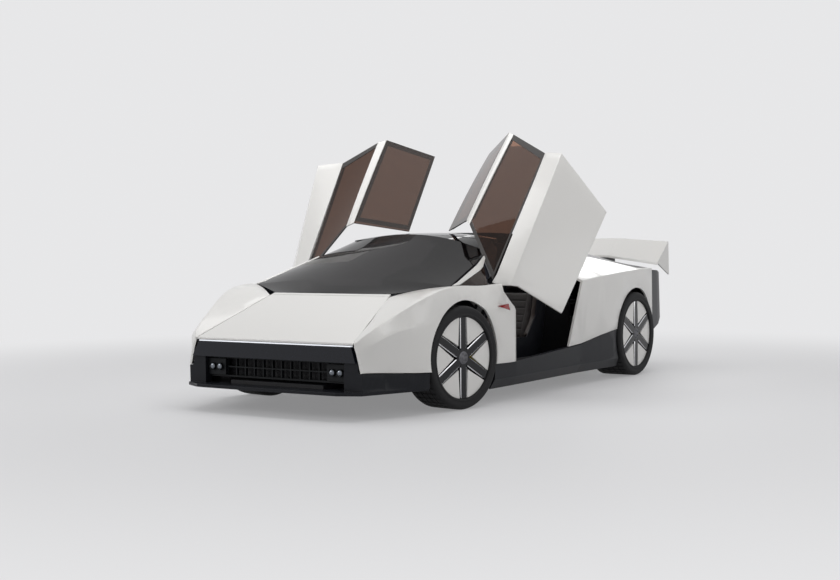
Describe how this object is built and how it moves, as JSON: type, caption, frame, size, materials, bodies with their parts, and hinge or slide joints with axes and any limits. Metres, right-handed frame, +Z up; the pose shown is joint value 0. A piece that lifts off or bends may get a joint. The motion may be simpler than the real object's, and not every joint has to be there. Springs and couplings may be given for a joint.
{
  "type": "supercar",
  "caption": "Low wedge-shaped two-seat supercar with upswung butterfly doors, glass roof panels, disc-faced wheels, rear wing, opening hood and rear lid.",
  "frame": {"origin": "on the ground, at the middle of the overall length and width", "axes": "+X forward, +Y to the car's left, +Z up"},
  "size_m": [4.6, 2.8522, 1.99],
  "materials": {
    "white_paint": "satin pearl off-white",
    "gloss_black": "gloss",
    "dark_plastic": "satin",
    "dark_structure": "matt dark coating",
    "cast_block": "cast",
    "forged_metal": "forged",
    "black_glass": "dark tint",
    "bronze_glass": "bronze tint",
    "tyre": "matt rubber",
    "rim_black": "gloss black with machined edges",
    "door_black": "soft dark trim",
    "cabin_trim": "soft dark trim",
    "seat_leather": "soft leather",
    "lamp_white": "clear lamp",
    "lamp_red": "red lens"
  },
  "bodies": {
    "root": {"cowl": "white_paint", "dashboard": "cabin_trim", "diffuser": "dark_plastic", "door_posts": "gloss_black", "drive_unit": "cast_block", "front_fenders": "white_paint", "front_splitter": "dark_plastic", "front_suspension": "forged_metal", "headlamps": "lamp_white", "intake_grille": "dark_plastic", "light_strip": "lamp_white", "nose_panel": "gloss_black", "pillars": "white_paint", "quarter_glass": "bronze_glass", "rear_deck": "gloss_black", "rear_quarters": "white_paint", "rear_suspension": "forged_metal", "rear_wing": "white_paint", "roof_frame": "gloss_black", "seats": "seat_leather", "side_markers": "lamp_red", "sills": "dark_plastic", "steering_wheel": "cabin_trim", "tail_lamps": "lamp_red", "tail_panel": "gloss_black", "tub": "dark_structure", "underbody": "dark_structure", "windshield": "black_glass"},
    "hood": {"hood": "white_paint"},
    "rear_lid": {"rear_lid": "gloss_black"},
    "door_left": {"door_panels_left": "white_paint", "door_inner_left": "door_black", "door_glass_left": "bronze_glass"},
    "door_right": {"door_panels_right": "white_paint", "door_inner_right": "door_black", "door_glass_right": "bronze_glass"},
    "knuckle_left": {"knuckle_front_left": "forged_metal"},
    "knuckle_right": {"knuckle_front_right": "forged_metal"},
    "wheel_front_left": {"tyre_front_left": "tyre", "rim_front_left": "rim_black", "aero_panels_front_left": "white_paint"},
    "wheel_front_right": {"tyre_front_right": "tyre", "rim_front_right": "rim_black", "aero_panels_front_right": "white_paint"},
    "wheel_rear_left": {"tyre_rear_left": "tyre", "rim_rear_left": "rim_black", "aero_panels_rear_left": "white_paint"},
    "wheel_rear_right": {"tyre_rear_right": "tyre", "rim_rear_right": "rim_black", "aero_panels_rear_right": "white_paint"}
  },
  "joints": [
    {"name": "door_left_swing", "type": "hinge", "parent": "root", "child": "door_left", "pos_m": [0.712, 0.8, 0.806], "axis": [0.499, 0.732, -0.464], "range_deg": [-67.1, 0]},
    {"name": "door_right_swing", "type": "hinge", "parent": "root", "child": "door_right", "pos_m": [0.712, -0.8, 0.806], "axis": [-0.499, 0.732, 0.464], "range_deg": [-67.1, 0]},
    {"name": "hood_lift", "type": "hinge", "parent": "root", "child": "hood", "pos_m": [1.575, 0, 0.7766], "axis": [0, -1, 0], "range_deg": [0, 50]},
    {"name": "rear_lid_lift", "type": "hinge", "parent": "root", "child": "rear_lid", "pos_m": [-0.75, 0, 1.2], "axis": [0, 1, 0], "range_deg": [0, 35]},
    {"name": "steer_left", "type": "hinge", "parent": "root", "child": "knuckle_left", "pos_m": [1.3, 0.8, 0.355], "axis": [0, 0, 1], "range_deg": [-23, 41]},
    {"name": "wheel_front_left_spin", "type": "hinge", "parent": "knuckle_left", "child": "wheel_front_left", "pos_m": [1.3, 0.8, 0.355], "axis": [0.1564, 0.9877, 0], "continuous": true},
    {"name": "wheel_rear_left_spin", "type": "hinge", "parent": "root", "child": "wheel_rear_left", "pos_m": [-1.45, 0.863, 0.355], "axis": [0, 1, 0], "continuous": true},
    {"name": "steer_right", "type": "hinge", "parent": "root", "child": "knuckle_right", "pos_m": [1.3, -0.8, 0.355], "axis": [0, 0, 1], "range_deg": [-23, 41]},
    {"name": "wheel_front_right_spin", "type": "hinge", "parent": "knuckle_right", "child": "wheel_front_right", "pos_m": [1.3, -0.8, 0.355], "axis": [0.1564, 0.9877, 0], "continuous": true},
    {"name": "wheel_rear_right_spin", "type": "hinge", "parent": "root", "child": "wheel_rear_right", "pos_m": [-1.45, -0.863, 0.355], "axis": [0, 1, 0], "continuous": true}
  ],
  "couplings": [
    {"joint": "steer_right", "follows": "steer_left", "ratio": 1}
  ]
}
